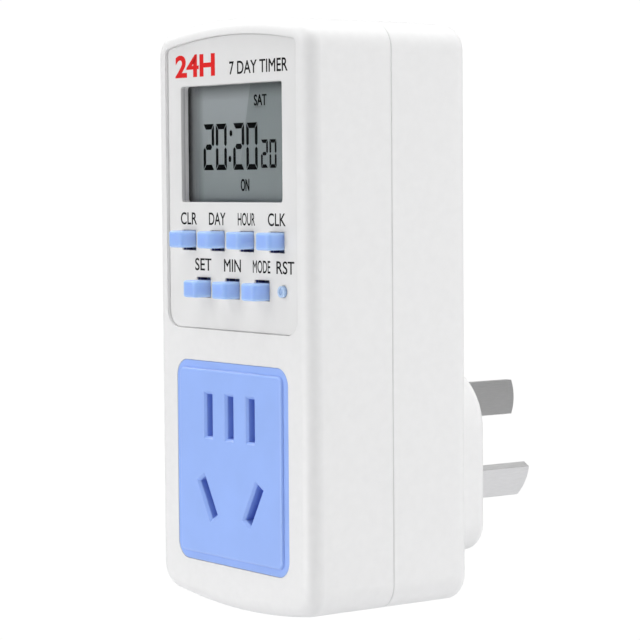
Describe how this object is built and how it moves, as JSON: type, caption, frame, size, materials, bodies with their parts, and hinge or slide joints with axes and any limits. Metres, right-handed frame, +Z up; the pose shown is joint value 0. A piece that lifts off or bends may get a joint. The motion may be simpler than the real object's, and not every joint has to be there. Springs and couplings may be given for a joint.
{
  "type": "plug-in timer socket",
  "caption": "Upright wall-plug timer: flat-pin plug on the back, digital display and small keys above a socket panel on the front, in a two-shell case.",
  "frame": {"origin": "centre of the plug's pin pattern on the plug's back face, which rests on the wall socket", "axes": "+Y into the wall along the pins, the front faces -Y, +Z up, +X to the right seen from the front"},
  "size_m": [0.046, 0.0654, 0.101],
  "materials": {
    "white_plastic": "fine satin moulding",
    "grey_plate": "satin, pale grey",
    "blue_plastic": "satin, sky blue",
    "clear_window": "clear and polished",
    "lcd_glass": "grey-green display",
    "lcd_foil": "satin foil",
    "zebra_rubber": "matt",
    "ivory_plastic": "matt",
    "black_plastic": "matt",
    "switch_plunger": "matt",
    "board_laminate": "solder mask",
    "contact_brass": "bright",
    "nickel_plate": "bright nickel plate",
    "screw_steel": "zinc plated",
    "relay_iron": "plated iron",
    "relay_cover_plastic": "gloss",
    "coil_copper": "enamelled copper",
    "earth_insulation": "smooth",
    "neutral_insulation": "smooth",
    "live_insulation": "smooth",
    "film_case": "smooth",
    "can_sleeve": "smooth sleeve",
    "resistor_enamel": "enamel",
    "varistor_lacquer": "lacquer",
    "cell_steel": "bright",
    "header_plastic": "matt"
  },
  "bodies": {
    "root": {"front_case": "white_plastic", "rear_case": "white_plastic", "control_faceplate": "grey_plate", "socket_panel": "blue_plastic", "display_window": "clear_window", "lcd_panel": "lcd_glass", "lcd_reflector": "lcd_foil", "zebra_strips": "zebra_rubber", "lcd_holder": "ivory_plastic", "contact_carrier": "ivory_plastic", "pin_retainer": "ivory_plastic", "relay_bobbin": "ivory_plastic", "switch_housings": "black_plastic", "relay_base": "black_plastic", "control_chip": "black_plastic", "rectifier_diodes": "black_plastic", "control_board": "board_laminate", "power_board": "board_laminate", "earth_contact": "contact_brass", "neutral_contact": "contact_brass", "live_contact": "contact_brass", "relay_fixed_contact": "contact_brass", "earth_pin": "nickel_plate", "neutral_pin": "nickel_plate", "live_pin": "nickel_plate", "case_screws": "screw_steel", "inner_screws": "screw_steel", "relay_yoke": "relay_iron", "relay_cover": "relay_cover_plastic", "relay_coil": "coil_copper", "earth_wire": "earth_insulation", "neutral_wire": "neutral_insulation", "live_feed_wire": "live_insulation", "switched_live_wire": "live_insulation", "suppression_capacitor": "film_case", "smoothing_capacitor": "can_sleeve", "resistors": "resistor_enamel", "fuse": "resistor_enamel", "varistor": "varistor_lacquer", "backup_battery": "cell_steel", "timing_crystal": "cell_steel", "board_link": "header_plastic"},
    "clear_press": {"clear_key": "blue_plastic", "clear_switch_plunger": "switch_plunger"},
    "day_press": {"day_key": "blue_plastic", "day_switch_plunger": "switch_plunger"},
    "hour_press": {"hour_key": "blue_plastic", "hour_switch_plunger": "switch_plunger"},
    "clock_press": {"clock_key": "blue_plastic", "clock_switch_plunger": "switch_plunger"},
    "set_press": {"set_key": "blue_plastic", "set_switch_plunger": "switch_plunger"},
    "minute_press": {"minute_key": "blue_plastic", "minute_switch_plunger": "switch_plunger"},
    "mode_press": {"mode_key": "blue_plastic", "mode_switch_plunger": "switch_plunger"},
    "reset_press": {"reset_button": "blue_plastic", "reset_switch_plunger": "switch_plunger"},
    "relay_clapper": {"relay_armature": "relay_iron", "relay_moving_contact": "contact_brass"}
  },
  "joints": [
    {"name": "clear_press_slide", "type": "slide", "parent": "root", "child": "clear_press", "axis": [0, 1, 0], "range_m": [0, 0.0005], "stiffness_N_per_m": 600},
    {"name": "day_press_slide", "type": "slide", "parent": "root", "child": "day_press", "axis": [0, 1, 0], "range_m": [0, 0.0005], "stiffness_N_per_m": 600},
    {"name": "hour_press_slide", "type": "slide", "parent": "root", "child": "hour_press", "axis": [0, 1, 0], "range_m": [0, 0.0005], "stiffness_N_per_m": 600},
    {"name": "clock_press_slide", "type": "slide", "parent": "root", "child": "clock_press", "axis": [0, 1, 0], "range_m": [0, 0.0005], "stiffness_N_per_m": 600},
    {"name": "set_press_slide", "type": "slide", "parent": "root", "child": "set_press", "axis": [0, 1, 0], "range_m": [0, 0.0005], "stiffness_N_per_m": 600},
    {"name": "minute_press_slide", "type": "slide", "parent": "root", "child": "minute_press", "axis": [0, 1, 0], "range_m": [0, 0.0005], "stiffness_N_per_m": 600},
    {"name": "mode_press_slide", "type": "slide", "parent": "root", "child": "mode_press", "axis": [0, 1, 0], "range_m": [0, 0.0005], "stiffness_N_per_m": 600},
    {"name": "reset_press_slide", "type": "slide", "parent": "root", "child": "reset_press", "axis": [0, 1, 0], "range_m": [0, 0.0005], "stiffness_N_per_m": 600},
    {"name": "relay_clapper_hinge", "type": "hinge", "parent": "root", "child": "relay_clapper", "pos_m": [-0.0077, -0.0257, 0.034], "axis": [0, 0, 1], "range_deg": [0, 3.5], "stiffness_Nm_per_rad": 0.02}
  ]
}
